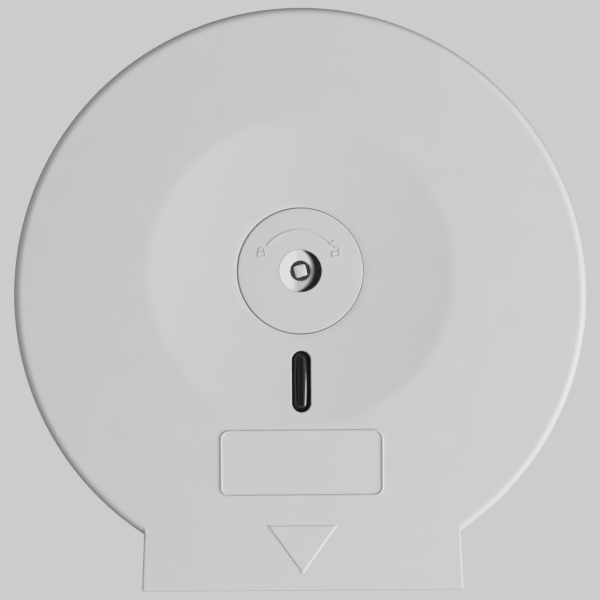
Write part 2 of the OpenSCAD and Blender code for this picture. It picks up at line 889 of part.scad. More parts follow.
back_plate();
spindle_post();
spindle_screws();
hub_washer();
striker_cap();
striker_screws();
hinge_pin(-1);  // hinge_pin_left
hinge_pin(1);  // hinge_pin_right
roll_hub();
front_cover();
window_lens();
window_clips();
lock_bezel();
key_cup();
lock_housing();
housing_screws();
wave_washer();
tear_strip(-1);  // tear_strip_left
tear_strip(1);  // tear_strip_right
strip_rivets(-1);  // strip_rivets_left
strip_rivets(1);  // strip_rivets_right
lock_core();
lock_cam();
cam_washer();
cam_screw();
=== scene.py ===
"""Looks of the jumbo toilet roll dispenser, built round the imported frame.

New pieces are drawn in wall axes, in millimetres: x to the right, y up, z out from the wall.
hang() turns them into the frame's metres: +X right, +Y into the wall, +Z up.
"""
import json
import math

import bmesh
import bpy
from mathutils import Matrix, Vector


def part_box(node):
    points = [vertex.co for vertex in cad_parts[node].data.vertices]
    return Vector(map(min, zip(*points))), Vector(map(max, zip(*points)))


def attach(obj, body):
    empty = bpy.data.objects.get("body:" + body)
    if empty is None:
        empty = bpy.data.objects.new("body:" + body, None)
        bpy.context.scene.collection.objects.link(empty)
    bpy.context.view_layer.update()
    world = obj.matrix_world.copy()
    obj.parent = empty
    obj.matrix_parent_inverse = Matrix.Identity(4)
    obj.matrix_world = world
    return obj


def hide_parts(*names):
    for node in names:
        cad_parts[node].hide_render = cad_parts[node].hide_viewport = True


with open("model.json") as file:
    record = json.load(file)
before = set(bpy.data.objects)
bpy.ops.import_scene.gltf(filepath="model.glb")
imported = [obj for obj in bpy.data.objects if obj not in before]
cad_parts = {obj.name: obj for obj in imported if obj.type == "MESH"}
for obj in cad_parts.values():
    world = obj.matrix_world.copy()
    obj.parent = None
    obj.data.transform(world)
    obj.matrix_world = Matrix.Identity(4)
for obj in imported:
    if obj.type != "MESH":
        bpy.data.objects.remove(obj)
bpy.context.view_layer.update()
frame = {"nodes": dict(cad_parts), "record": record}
bpy.ops.object.select_all(action="DESELECT")

MM = 0.001
TURN = 2 * math.pi
QUARTER = TURN / 4
HANG = Matrix.Rotation(QUARTER, 4, "X") @ Matrix.Scale(MM, 4)


def node_box(node):
    """Lowest and highest corner of a CAD node in wall axes, in millimetres."""
    low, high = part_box(node)
    return (Vector((low.x, low.z, -high.y)) / MM, Vector((high.x, high.z, -low.y)) / MM)


# ---- Sizes, in millimetres ----

COVER_LOW, COVER_HIGH = node_box("front_cover")
BEZEL_LOW, BEZEL_HIGH = node_box("lock_bezel")

WALL = 2.5
CASE_R = 135.0
CASE_DRAFT = 1.0
CASE_Y = COVER_HIGH.y - CASE_R - CASE_DRAFT
CASE_DEPTH = 120.0
DOME_R = 1900.0
DOME_Z = CASE_DEPTH - DOME_R
RIM_R = 4.0
DISH_R = 930.0
DISH_FLOOR = CASE_DEPTH - 4.2
DISH_Y = 4.0
COVER_BACK = COVER_LOW.z
MOUTH_Y = COVER_LOW.y
CHUTE_W = 151.5
CHUTE_LEAN = math.radians(2.6)
CHUTE_SLOPE = math.tan(CHUTE_LEAN)
CHUTE_EDGE_R = 0.9
LEDGE_W = 12.0
LEDGE_FRONT = 4.0

BEZEL_TRIM = 0.5
BEZEL_R = BEZEL_HIGH.x - BEZEL_TRIM
BEZEL_FACE = BEZEL_HIGH.z
BEZEL_SEAT = BEZEL_FACE - 2.2
BEZEL_CROWN = 0.3
BEZEL_EDGE_R = 0.5
RECESS_R = BEZEL_R + 0.3
RECESS_PLAY = Vector((-0.17, 0, 0))
PAD_R = BEZEL_R + 2
PAD_BACK = BEZEL_SEAT - 3
PAD_RIB_ANGLES = (30, 90, 150, 210, 330)
PAD_RIB_REACH = 62.0
PAD_RIB_T = 1.8
PAD_RIB_LOW = PAD_BACK + 0.8
PAD_RIB_HIGH = PAD_RIB_LOW + 3.0
SPIGOT_R = 13.0
SPIGOT_END = BEZEL_LOW.z
BOSS_RING_R = 21.0
BOSS_R = 3.5
BOSS_ROOT = 0.4
BOSS_BORE_R = 1.52
BOSS_BORE_END = 0.8
BOSS_ANGLES = (90, 210, 330)
FIT_GAP = 0.2
TURN_GAP = 0.08

CUP_R = 10.0
CUP_LIP = 0.12
CUP_EDGE = 0.03
POCKET_GAP = 0.02
POCKET_EDGE = 0.04
CUP_DEPTH = 4.0
CUP_BACK = BEZEL_FACE - CUP_DEPTH - 1
KEY_HOLE_R = 4.7
KEY_HOLE_EDGE_R = 0.7

WINDOW_W = 9.0
WINDOW_H = 29.0
WINDOW_DROP = 52.0
WINDOW_EDGE_R = 0.5
LENS_SEAT_RISE = 0.6
LENS_SEAT_BORDER = 1.0
LENS_SEAT = -(WALL + LENS_SEAT_RISE)
LENS_FLANGE_T = 1.4
LENS_FLANGE_W = WINDOW_W + 5
LENS_FLANGE_H = WINDOW_H + 5
LENS_PEG_X = LENS_FLANGE_W / 2 + 2.6
LENS_EAR_W = 7.0
LENS_PEG_R = 1.25
LENS_PEG_PROUD = 1.4
LENS_PEG_GAP = 0.1
LENS_BOW_R = 150.0
LENS_RECESS = 0.1
LENS_POLE_R = 0.02

LABEL_W = 77.0
LABEL_H = 31.5
LABEL_DROP = 90.5
LABEL_CORNER = 4.5
BEAD_W = 1.0
BEAD_H = 0.6
BEAD_ROOT = 0.35
ARROW_W = 33.6
ARROW_H = 23.5
ARROW_TIP_ABOVE = 7.5
ARROW_SLOPE_W = 0.85
ARROW_RISE = 0.5
ARROW_ROOT = 0.4
ARROW_EDGE = 0.12
ARROW_CUTS = 5

HINGE_Y = MOUTH_Y + 9.5
HINGE_OUT = 14.0
HINGE_PIN_R = 2.5
EYE_L = 6.0
EYE_END_T = 0.4
EYE_R = 5.0
STRIP_L = 78.0
RIVET_R = 1.3
RIVET_GAP = 0.05
RIVET_INSET = 4.5
RIVET_END = 6.0
RIVETS = 3

# Two places nearer than this count as one
CLOSE = 1e-4


def dome_at(x, y, inset=0.0):
    """Height of the dome over a point of the wall."""
    r2 = x * x + (y - CASE_Y) ** 2
    return DOME_Z + math.sqrt((DOME_R - inset) ** 2 - r2)


def dish_at(x, y, inset=0.0):
    """Height of the dish over a point of the wall."""
    r2 = x * x + (y - DISH_Y) ** 2
    return DISH_FLOOR + DISH_R - math.sqrt((DISH_R + inset) ** 2 - r2)


def chute_half(y):
    """Half the chute's width at a height over the wall's axes."""
    return CHUTE_W / 2 - (y - MOUTH_Y) * CHUTE_SLOPE


MOUTH_HALF = chute_half(MOUTH_Y) - WALL - LEDGE_W
MOUTH_FRONT = dome_at(0, MOUTH_Y) - WALL - LEDGE_FRONT
LEDGE_BACK = HINGE_OUT + 8
EYE_IN_X = chute_half(HINGE_Y) - WALL - EYE_L
STRIP_BACK = LEDGE_BACK + 3


# ---- Working by hand ----

def deselect():
    """Leaves edit mode with nothing selected."""
    if bpy.context.object and bpy.context.object.mode != "OBJECT":
        bpy.ops.object.mode_set(mode="OBJECT")
    bpy.ops.object.select_all(action="DESELECT")


def take(piece):
    """Makes a piece the only selected one."""
    deselect()
    piece.select_set(True)
    bpy.context.view_layer.objects.active = piece
    return piece


def named(name):
    """Names the active piece and its mesh."""
    piece = bpy.context.object
    piece.name = name
    piece.data.name = name
    return piece


def select_where(test):
    """In edit mode, selects the vertices whose place passes the test."""
    bpy.ops.mesh.select_all(action="DESELECT")
    mesh = bmesh.from_edit_mesh(bpy.context.object.data)
    for vert in mesh.verts:
        if test(vert.co):
            vert.select_set(True)
    mesh.select_flush(True)
    bmesh.update_edit_mesh(bpy.context.object.data)


def set_in_place(piece, matrix):
    """Moves a piece by a matrix and leaves its place in its mesh."""
    take(piece)
    piece.matrix_world = matrix @ piece.matrix_world
    bpy.ops.object.transform_apply(location=True, rotation=True, scale=True)
    return piece


def placed(name, mesh):
    """A new object of the scene with the given mesh."""
    piece = bpy.data.objects.new(name, mesh)
    bpy.context.scene.collection.objects.link(piece)
    return piece


def recalculate(piece):
    """Turns all faces of a piece outwards."""
    take(piece)
    bpy.ops.object.mode_set(mode="EDIT")
    bpy.ops.mesh.select_all(action="SELECT")
    bpy.ops.mesh.normals_make_consistent(inside=False)
    bpy.ops.object.mode_set(mode="OBJECT")
    return piece


def join(pieces, name):
    deselect()
    for piece in pieces:
        piece.select_set(True)
    bpy.context.view_layer.objects.active = pieces[0]
    if len(pieces) > 1:
        bpy.ops.object.join()
    return named(name)


def bevel(piece, width, segments=3, angle=35):
    """Bevels the edges that turn by more than an angle in degrees."""
    take(piece)
    edge = piece.modifiers.new("edge", "BEVEL")
    edge.width = width
    edge.segments = segments
    edge.limit_method = "ANGLE"
    edge.angle_limit = math.radians(angle)
    bpy.ops.object.modifier_apply(modifier=edge.name)
    return piece


def combine(piece, tool, operation):
    """Adds or cuts away a tool piece, which is used up."""
    take(piece)
    cut = piece.modifiers.new(operation.lower(), "BOOLEAN")
    cut.operation = operation
    cut.solver = "EXACT"
    cut.object = tool
    bpy.ops.object.modifier_apply(modifier=cut.name)
    bpy.data.objects.remove(tool)
    return piece


def turned(name, outline, segments=96, closed=True):
    """Turns an outline of (radius, z) round the z axis, ring by ring from a first circle."""
    deselect()
    radius, z = outline[0]
    bpy.ops.mesh.primitive_circle_add(vertices=segments, radius=radius, location=(0, 0, z))
    piece = named(name)
    bpy.ops.object.transform_apply(location=True)
    bpy.ops.object.mode_set(mode="EDIT")
    bpy.ops.mesh.select_all(action="SELECT")
    for next_radius, next_z in outline[1:]:
        bpy.ops.mesh.extrude_region_move(TRANSFORM_OT_translate={"value": (0, 0, next_z - z)})
        scale = next_radius / radius
        bpy.ops.transform.resize(value=(scale, scale, 1), center_override=(0, 0, next_z))
        radius, z = next_radius, next_z
    if closed:
        ends = (Vector(outline[0]), Vector((radius, z)))
        select_where(lambda co: any((Vector((co.xy.length, co.z)) - end).length < CLOSE for end in ends))
        bpy.ops.mesh.bridge_edge_loops()
    else:
        bpy.ops.mesh.select_all(action="SELECT")
        bpy.ops.mesh.region_to_loop()
        bpy.ops.mesh.edge_face_add()
    bpy.ops.object.mode_set(mode="OBJECT")
    return recalculate(piece)


def woven(name, rows):
    """A closed skin of four-sided faces between rows of points, where the last row meets the first."""
    size, count = len(rows[0]), len(rows)
    faces = []
    for i in range(count):
        a, b = i * size, (i + 1) % count * size
        faces += [(a + k, a + (k + 1) % size, b + (k + 1) % size, b + k) for k in range(size)]
    mesh = bpy.data.meshes.new(name)
    mesh.from_pydata([point for row in rows for point in row], [], faces)
    return recalculate(placed(name, mesh))


def arc(centre, radius, start, end, steps):
    """Points of an arc in degrees, both ends included."""
    angles = [math.radians(start + (end - start) * i / steps) for i in range(steps + 1)]
    return [(centre[0] + radius * math.cos(a), centre[1] + radius * math.sin(a)) for a in angles]


def rod(name, radius, z0, z1, segments=48):
    """A round bar along z."""
    deselect()
    bpy.ops.mesh.primitive_cylinder_add(vertices=segments, radius=radius, depth=z1 - z0,
                                        location=(0, 0, (z0 + z1) / 2))
    piece = named(name)
    bpy.ops.object.transform_apply(location=True)
    return piece


def block(name, low, high):
    """A box between two corners."""
    deselect()
    middle = [(a + b) / 2 for a, b in zip(low, high)]
    bpy.ops.mesh.primitive_cube_add(size=1, location=middle)
    bpy.context.object.scale = [b - a for a, b in zip(low, high)]
    piece = named(name)
    bpy.ops.object.transform_apply(location=True, scale=True)
    return piece


def slot_prism(name, height, width, z0, z1, segments=64):
    """A flat bar with round ends, long across y: a circle drawn out and extruded."""
    deselect()
    bpy.ops.mesh.primitive_circle_add(vertices=segments, radius=width / 2, fill_type="NGON")
    piece = named(name)
    set_in_place(piece, Matrix.Translation((0, 0, z0)) @ Matrix.Rotation(TURN / segments / 2, 4, "Z"))
    bpy.ops.object.mode_set(mode="EDIT")
    half = (height - width) / 2
    for side in (-1, 1):
        select_where(lambda co: co.y * side > 0 and abs(co.y) <= width)
        bpy.ops.transform.translate(value=(0, side * half, 0))
    bpy.ops.mesh.select_all(action="SELECT")
    bpy.ops.mesh.extrude_region_move(TRANSFORM_OT_translate={"value": (0, 0, z1 - z0)})
    bpy.ops.object.mode_set(mode="OBJECT")
    return recalculate(piece)


def copies(piece, matrices):
    """The piece at each of the places, every copy with its own mesh, joined into one."""
    made = []
    for matrix in matrices:
        made.append(set_in_place(placed(piece.name, piece.data.copy()), matrix))
    name = piece.name
    bpy.data.objects.remove(piece)
    return join(made, name)


def around(radius, angles):
    """Places on a circle round the z axis."""
    return [Matrix.Rotation(math.radians(a), 4, "Z") @ Matrix.Translation((radius, 0, 0)) for a in angles]


def hang(piece, smooth=35):
    """Stands a finished piece up in the frame and smooths its shading."""
    set_in_place(piece, HANG)
    bpy.ops.object.shade_smooth_by_angle(angle=math.radians(smooth))
    return piece


def dress(piece, body, slot, finish, *nodes):
    """Puts a finished piece on its body, in place of the CAD nodes it stands for."""
    piece.data.materials.clear()
    piece.data.materials.append(finish)
    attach(piece, body)
    for node in nodes:
        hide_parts(node)
    return piece


# ---- Front cover ----
# A moulded shell drawn in rings, from the hole for the lock out over the dish and the dome, round the
# rim, down the skirt and back along the inside. A column of the mesh is one point of each ring.

# The crest is the soft fold where the dish meets the dome.

CREST_C = Vector((0.0, -0.93))
CREST_R = 72.1
CREST_SOFT = 2.4
CREST_REACH = 1.5 * CREST_SOFT
CREST_SHARES = (-1, -0.75, -0.5, -0.25, 0, 0.25, 0.5, 0.75, 1)
SKIRT_SHARES = (0.03, 0.35, 0.7, 0.97, 1)
CORNER_R = 1.3
INSIDE_CORNER_R = 0.5
INSIDE_EDGE_R = 0.3
FIRST_STEP = 0.6
LAST_SHARE = 0.15
RECESS_LIP = 0.25
LIP_ANGLES = (0, math.radians(30), math.radians(60))
SPIGOT_HOLE_R = SPIGOT_R + FIT_GAP
CASING_COLUMNS = 146
SIDE_COLUMNS = 10
CORNER_COLUMNS = 4
MOUTH_COLUMNS = 28
HALVINGS = 60


def side_line_meets(radius, inset):
    """Where the chute's right side, inset by a wall, meets a circle round the casing's centre."""
    low, high = MOUTH_Y, CASE_Y - radius / 3
    for _ in range(HALVINGS):
        y = (low + high) / 2
        x = chute_half(y) - inset / math.cos(CHUTE_LEAN)
        if math.hypot(x, y - CASE_Y) > radius:
            low = y
        else:
            high = y
    return Vector((x, y))


class Column:
    """One point of the cover's outline: its place, the way out, and how its edge is rounded."""

    def __init__(self, kind, place, out):
        self.kind, self.place, self.out = kind, place, out


def right_half_columns(inset):
    """The outline from the top of the casing clockwise to the middle of the mouth."""
    casing_r = CASE_R - inset
    centre = Vector((0, CASE_Y))
    corner = side_line_meets(casing_r, inset)
    end = math.atan2(corner.y - CASE_Y, corner.x)
    side_out = Vector((1, CHUTE_SLOPE)).normalized()
    made = []
    for i in range(CASING_COLUMNS):
        a = QUARTER + (end - QUARTER) * i / CASING_COLUMNS
        way = Vector((math.cos(a), math.sin(a)))
        made.append(Column("casing", centre + way * casing_r, way))
    made.append(Column("corner", corner, side_out))
    floor_y = MOUTH_Y + inset
    round_r = max(CORNER_R - inset, INSIDE_CORNER_R)
    side_inset = inset / math.cos(CHUTE_LEAN)
    start_y = corner.y - FIRST_STEP
    for i in range(SIDE_COLUMNS + 1):
        y = start_y + (floor_y + round_r - start_y) * i / SIDE_COLUMNS
        made.append(Column("chute", Vector((chute_half(y) - side_inset, y)), side_out))
    pivot = Vector((chute_half(floor_y) - side_inset - round_r, floor_y + round_r))
    for i in range(1, CORNER_COLUMNS + 1):
        a = -QUARTER * i / CORNER_COLUMNS
        way = Vector((math.cos(a), math.sin(a)))
        made.append(Column("chute", pivot + way * round_r, way))
    for i in range(1, MOUTH_COLUMNS + 1):
        made.append(Column("chute", Vector((pivot.x * (1 - i / MOUTH_COLUMNS), floor_y)), Vector((0, -1))))
    return made


def all_columns(inset):
    """The whole outline: the right half and its mirror image."""
    right = right_half_columns(inset)
    flip = [Column(c.kind, Vector((-c.place.x, c.place.y)), Vector((-c.out.x, c.out.y)))
            for c in reversed(right[1:-1])]
    return right + flip


def rim_points(column, inset, steps=8):
    """The column's points from the dome's edge round the rim to the back of the skirt."""
    centre = Vector((0, CASE_Y))
    rim_x = CASE_R - RIM_R
    rim_z = DOME_Z + math.sqrt((DOME_R - RIM_R) ** 2 - rim_x ** 2)
    if column.kind == "chute":
        edge_r = max(CHUTE_EDGE_R - inset, INSIDE_EDGE_R)
        seat = column.place - column.out * edge_r
        mid_z = DOME_Z + math.sqrt((DOME_R - inset - edge_r) ** 2 - (seat - centre).length_squared)
    else:
        edge_r = RIM_R - inset
        mid_z = rim_z
    points = []
    start = math.asin((column.place - centre).length / DOME_R)
    for i in range(steps + 1):
        a = start + (QUARTER - start) * i / steps
        z = mid_z + edge_r * math.cos(a)
        if column.kind == "casing":
            flat = centre + column.out * (rim_x + edge_r * math.sin(a))
        elif column.kind == "corner":
            flat = side_line_meets(rim_x + edge_r * math.sin(a), inset)
            flat.x *= math.copysign(1, column.place.x)
        else:
            flat = seat + column.out * edge_r * math.sin(a)
        points.append(Vector((flat.x, flat.y, z)))
    for share in SKIRT_SHARES:
        z = mid_z + (COVER_BACK - mid_z) * share
        grow = (COVER_HIGH.x - CASE_R) * (rim_z - z) / (rim_z - COVER_BACK)
        if column.kind == "casing":
            flat = column.place + column.out * grow
        elif column.kind == "corner":
            flat = side_line_meets(CASE_R - inset + grow, inset)
            flat.x *= math.copysign(1, column.place.x)
        else:
            flat = column.place
        points.append(Vector((flat.x, flat.y, z)))
    return points


def front_points(edge, hole_r, inset, dish_steps, dome_steps):
    """The column's points from the hole out over the dish, the crest and the dome."""
    way = (Vector((edge.x, edge.y)) - CREST_C).normalized()
    crest = CREST_C + way * CREST_R
    hole = crest.normalized() * hole_r
    rim = Vector((edge.x, edge.y))
    inner, outer = crest - way * CREST_REACH, crest + way * CREST_REACH
    points = [hole.lerp(inner, i / dish_steps) for i in range(dish_steps + 1)]
    points = [Vector((p.x, p.y, dish_at(p.x, p.y, inset))) for p in points]
    fold = CREST_R / DOME_R + CREST_R / DISH_R
    for share in CREST_SHARES:
        p = crest + way * CREST_SOFT * share
        sharp = min(dome_at(p.x, p.y, inset), dish_at(p.x, p.y, inset))
        points.append(Vector((p.x, p.y, sharp - fold * CREST_SOFT * (1 - abs(share)) ** 2 / 4)))
    for share in [i / dome_steps for i in range(dome_steps)] + [1 - LAST_SHARE / dome_steps]:
        p = outer.lerp(rim, share)
        points.append(Vector((p.x, p.y, dome_at(p.x, p.y, inset))))
    return points


def cover_skin():
    """The closed shell, its wall included: outside, skirt, inside, pad and recess."""
    columns = []
    for outer, inner in zip(all_columns(0), all_columns(WALL)):
        out_rim, in_rim = rim_points(outer, 0), rim_points(inner, WALL)
        front = front_points(out_rim[0], RECESS_R + RECESS_LIP, 0, dish_steps=12, dome_steps=12)
        behind = front_points(in_rim[0], PAD_R, WALL, dish_steps=8, dome_steps=8)
        way = Vector((front[0].x, front[0].y, 0)).normalized()
        top = front[0].z
        recess = [way * SPIGOT_HOLE_R + Vector((0, 0, BEZEL_SEAT)),
                  way * (RECESS_R - RECESS_LIP) + Vector((0, 0, BEZEL_SEAT)),
                  way * RECESS_R + Vector((0, 0, BEZEL_SEAT))]
        for a in LIP_ANGLES:
            out, down = RECESS_LIP * (1 - math.cos(a)), RECESS_LIP * (1 - math.sin(a))
            recess.append(way * (RECESS_R + out) + Vector((0, 0, top - down)))
        pad = [way * PAD_R + Vector((0, 0, PAD_BACK)), way * SPIGOT_HOLE_R + Vector((0, 0, PAD_BACK))]
        recess[1:] = [point + RECESS_PLAY for point in recess[1:]]
        front[0] = front[0] + RECESS_PLAY
        columns.append(recess + front + out_rim + in_rim[::-1] + behind[::-1] + pad)
    return woven("cover_moulding", columns)


def window_frame():
    """The window's own axes: origin on the dish, z along the dish's outward normal."""
    tilt = -math.asin((WINDOW_DROP + DISH_Y) / DISH_R)
    place = Matrix.Translation((0, -WINDOW_DROP, dish_at(0, -WINDOW_DROP)))
    return place @ Matrix.Rotation(tilt, 4, "X")


def eared_bar(name, border, z0, z1):
    """The flange of the lens, wider by a border all round: an upright bar crossed by two ears."""
    wider = 2 * border
    bar = slot_prism(name, LENS_FLANGE_H + wider, LENS_FLANGE_W + wider, z0, z1)
    ears = slot_prism("ears", 2 * LENS_PEG_X + LENS_EAR_W + wider, LENS_EAR_W + wider, z0, z1)
    return combine(bar, set_in_place(ears, Matrix.Rotation(QUARTER, 4, "Z")), "UNION")


def window_seat():
    """The raised seat behind the slot and the two pegs that hold the lens."""
    seat = eared_bar("seat", LENS_SEAT_BORDER, LENS_SEAT, -WALL / 2)
    low = LENS_SEAT - LENS_FLANGE_T - LENS_PEG_PROUD
    for side in (-1, 1):
        peg = rod("peg", LENS_PEG_R, low, LENS_SEAT + LENS_SEAT_RISE, segments=24)
        combine(seat, set_in_place(peg, Matrix.Translation((side * LENS_PEG_X, 0, 0))), "UNION")
    return set_in_place(seat, window_frame())


def window_slot_tool():
    """Cuts the slot, with a rounded front edge."""
    tool = slot_prism("slot_tool", WINDOW_H, WINDOW_W, -3 * WALL, -WINDOW_EDGE_R)
    take(tool)
    bpy.ops.object.mode_set(mode="EDIT")
    select_where(lambda co: co.z > -WINDOW_EDGE_R - CLOSE)
    flare = arc((WINDOW_EDGE_R, -WINDOW_EDGE_R), WINDOW_EDGE_R, 180, 105, steps=5)
    flare.append((WINDOW_EDGE_R, 2 * WALL))
    grow, z = flare[0]
    for next_grow, next_z in flare[1:]:
        bpy.ops.mesh.extrude_region_move(TRANSFORM_OT_translate={"value": (0, 0, next_z - z)})
        across = (WINDOW_W + 2 * next_grow) / (WINDOW_W + 2 * grow)
        along = (WINDOW_H + 2 * next_grow) / (WINDOW_H + 2 * grow)
        bpy.ops.transform.resize(value=(across, along, 1), center_override=(0, 0, 0))
        grow, z = next_grow, next_z
    bpy.ops.object.mode_set(mode="OBJECT")
    recalculate(tool)
    return set_in_place(tool, window_frame())


def pad_ribs():
    """Ribs that run out from the lock's pad on the inside."""
    half = PAD_RIB_T / 2
    rib = block("pad_ribs", (PAD_R - 1, -half, PAD_RIB_LOW), (PAD_RIB_REACH, half, PAD_RIB_HIGH))
    return copies(rib, [Matrix.Rotation(math.radians(a), 4, "Z") for a in PAD_RIB_ANGLES])


def eye_place(side):
    """Where the hinge eye of one side starts; its axis runs out to that side."""
    turn = Matrix.Rotation(side * QUARTER, 4, "Y")
    return Matrix.Translation((side * EYE_IN_X, HINGE_Y, HINGE_OUT)) @ turn


def hinge_eye(side):
    length = chute_half(HINGE_Y) - WALL / 2 - EYE_IN_X
    return set_in_place(rod("eye", EYE_R, 0, length), eye_place(side))


def pin_bore_tool(side):
    """The blind bore of a hinge eye, open to the inside."""
    return set_in_place(rod("pin_bore", HINGE_PIN_R + TURN_GAP, -1, EYE_L - EYE_END_T), eye_place(side))


def hinge_corner_tool(side):
    """Rounds the lower back corner of a side wall about the hinge."""
    reach, depth = 2 * HINGE_OUT, 8 * WALL
    x = side * CHUTE_W / 2
    tool = block("corner_tool", (x - depth / 2, HINGE_Y - reach, HINGE_OUT - reach),
                 (x + depth / 2, HINGE_Y, HINGE_OUT))
    core = rod("core", HINGE_Y - MOUTH_Y, -depth, depth, segments=96)
    set_in_place(core, Matrix.Translation((x, HINGE_Y, HINGE_OUT)) @ Matrix.Rotation(QUARTER, 4, "Y"))
    return combine(tool, core, "DIFFERENCE")


def mouth_tools():
    """Opens the mouth between the ledges, and the whole width of the chute behind them."""
    spare = 0.3
    full = chute_half(MOUTH_Y) - WALL + spare
    return [block("mouth", (-MOUTH_HALF, MOUTH_Y - 1, -1), (MOUTH_HALF, MOUTH_Y + WALL + 1, MOUTH_FRONT)),
            block("ledge_end", (-full, MOUTH_Y - 1, -1), (full, MOUTH_Y + WALL + spare, LEDGE_BACK))]


def rivet_tools():
    """Holes through the ledges for the rivets of the tear strips."""
    tools = []
    for side in (-1, 1):
        for i in range(RIVETS):
            out = STRIP_BACK + RIVET_END + i * (STRIP_L - 2 * RIVET_END) / (RIVETS - 1)
            tool = rod("rivet_tool", RIVET_R + RIVET_GAP, -3 * WALL, 3 * WALL, segments=32)
            place = Matrix.Translation((side * (MOUTH_HALF + RIVET_INSET), MOUTH_Y + WALL, out))
            tools.append(set_in_place(tool, place @ Matrix.Rotation(QUARTER, 4, "X")))
    return tools


def bead_section(steps=6):
    """Half-round section of the bead: (across, height), from foot to foot."""
    ridge = [(BEAD_W / 2 * math.cos(math.pi * i / steps), BEAD_H * math.sin(math.pi * i / steps))
             for i in range(steps + 1)]
    return [(BEAD_W / 2, -BEAD_ROOT)] + ridge + [(-BEAD_W / 2, -BEAD_ROOT)]


def label_bead():
    """The raised line round the label space, swept along a rounded rectangle on the dome."""
    half_w, half_h = (LABEL_W - BEAD_W) / 2, (LABEL_H - BEAD_W) / 2
    corner_r = LABEL_CORNER - BEAD_W / 2
    corner_steps, side_steps = 8, 12
    path = []
    for sx, sy, start in ((1, 1, 0), (-1, 1, 90), (-1, -1, 180), (1, -1, 270)):
        pivot = Vector((sx * (half_w - corner_r), sy * (half_h - corner_r)))
        for i in range(corner_steps + 1):
            a = math.radians(start + 90 * i / corner_steps)
            way = Vector((math.cos(a), math.sin(a)))
            path.append((pivot + way * corner_r, way))
        if start in (0, 180):
            straight, step_way = 2 * (half_w - corner_r), Vector((-sx, 0))
            way = Vector((0, sy))
        else:
            straight, step_way = 2 * (half_h - corner_r), Vector((0, -sy))
            way = Vector((sx, 0))
        last = path[-1][0]
        path += [(last + step_way * straight * i / side_steps, way) for i in range(1, side_steps)]
    rows = []
    for place, way in path:
        row = []
        for across, height in bead_section():
            p = place + way * across
            x, y = p.x, p.y - LABEL_DROP
            row.append((x, y, dome_at(x, y) + height))
        rows.append(row)
    return woven("label_bead", rows)


def mouth_arrow():
    """The raised arrow head that points to the mouth, with sloping sides."""
    tip_y = MOUTH_Y + ARROW_TIP_ABOVE
    deselect()
    bpy.ops.mesh.primitive_circle_add(vertices=3, radius=1, fill_type="NGON")
    piece = named("mouth_arrow")
    corners = [(0, tip_y), (ARROW_W / 2, tip_y + ARROW_H), (-ARROW_W / 2, tip_y + ARROW_H)]
    for vert, (x, y) in zip(piece.data.vertices, corners):
        vert.co = (x, y, 0)
    bpy.ops.object.mode_set(mode="EDIT")
    bpy.ops.mesh.select_all(action="SELECT")
    bpy.ops.mesh.extrude_region_move(TRANSFORM_OT_translate={"value": (0, 0, ARROW_ROOT)})
    bpy.ops.mesh.inset(thickness=ARROW_SLOPE_W, depth=0)
    bpy.ops.transform.translate(value=(0, 0, ARROW_RISE))
    bpy.ops.mesh.inset(thickness=ARROW_SLOPE_W, depth=0)
    bpy.ops.mesh.select_all(action="SELECT")
    bpy.ops.mesh.subdivide(number_cuts=ARROW_CUTS)
    bpy.ops.object.mode_set(mode="OBJECT")
    return piece


def on_dome(piece, lift):
    """Lays a flat raised piece on the dome; z = 0 of the piece sits at a lift over it."""
    for vert in piece.data.vertices:
        vert.co.z += dome_at(vert.co.x, vert.co.y) + lift
    return recalculate(piece)


def front_cover():
    """The whole moulding of the front."""
    cover = cover_skin()
    arrow = bevel(mouth_arrow(), ARROW_EDGE, segments=2, angle=15)
    combine(cover, on_dome(arrow, -ARROW_ROOT), "UNION")
    combine(cover, label_bead(), "UNION")
    for tool in [window_seat(), pad_ribs()] + [hinge_eye(side) for side in (-1, 1)]:
        combine(cover, tool, "UNION")
    boss_hole = rod("boss_holes", BOSS_R + FIT_GAP, PAD_BACK - 1, BEZEL_SEAT + 1)
    cuts = [window_slot_tool(), copies(boss_hole, around(BOSS_RING_R, BOSS_ANGLES))] + mouth_tools()
    cuts += [tool(side) for side in (-1, 1) for tool in (hinge_corner_tool, pin_bore_tool)]
    for tool in cuts + rivet_tools():
        combine(cover, tool, "DIFFERENCE")
    return hang(cover, smooth=32)


# ---- Lock disc and key cup ----

FACE_STEPS = 12


def cap_ball(radius, rise):
    """Radius of the ball of which a cap has this radius and this rise."""
    return (radius * radius + rise * rise) / (2 * rise)


def crown_at(radius):
    """Height of the disc's slightly crowned face at a radius."""
    ball = cap_ball(BEZEL_R, BEZEL_CROWN)
    return BEZEL_FACE - ball + math.sqrt(ball * ball - radius * radius)


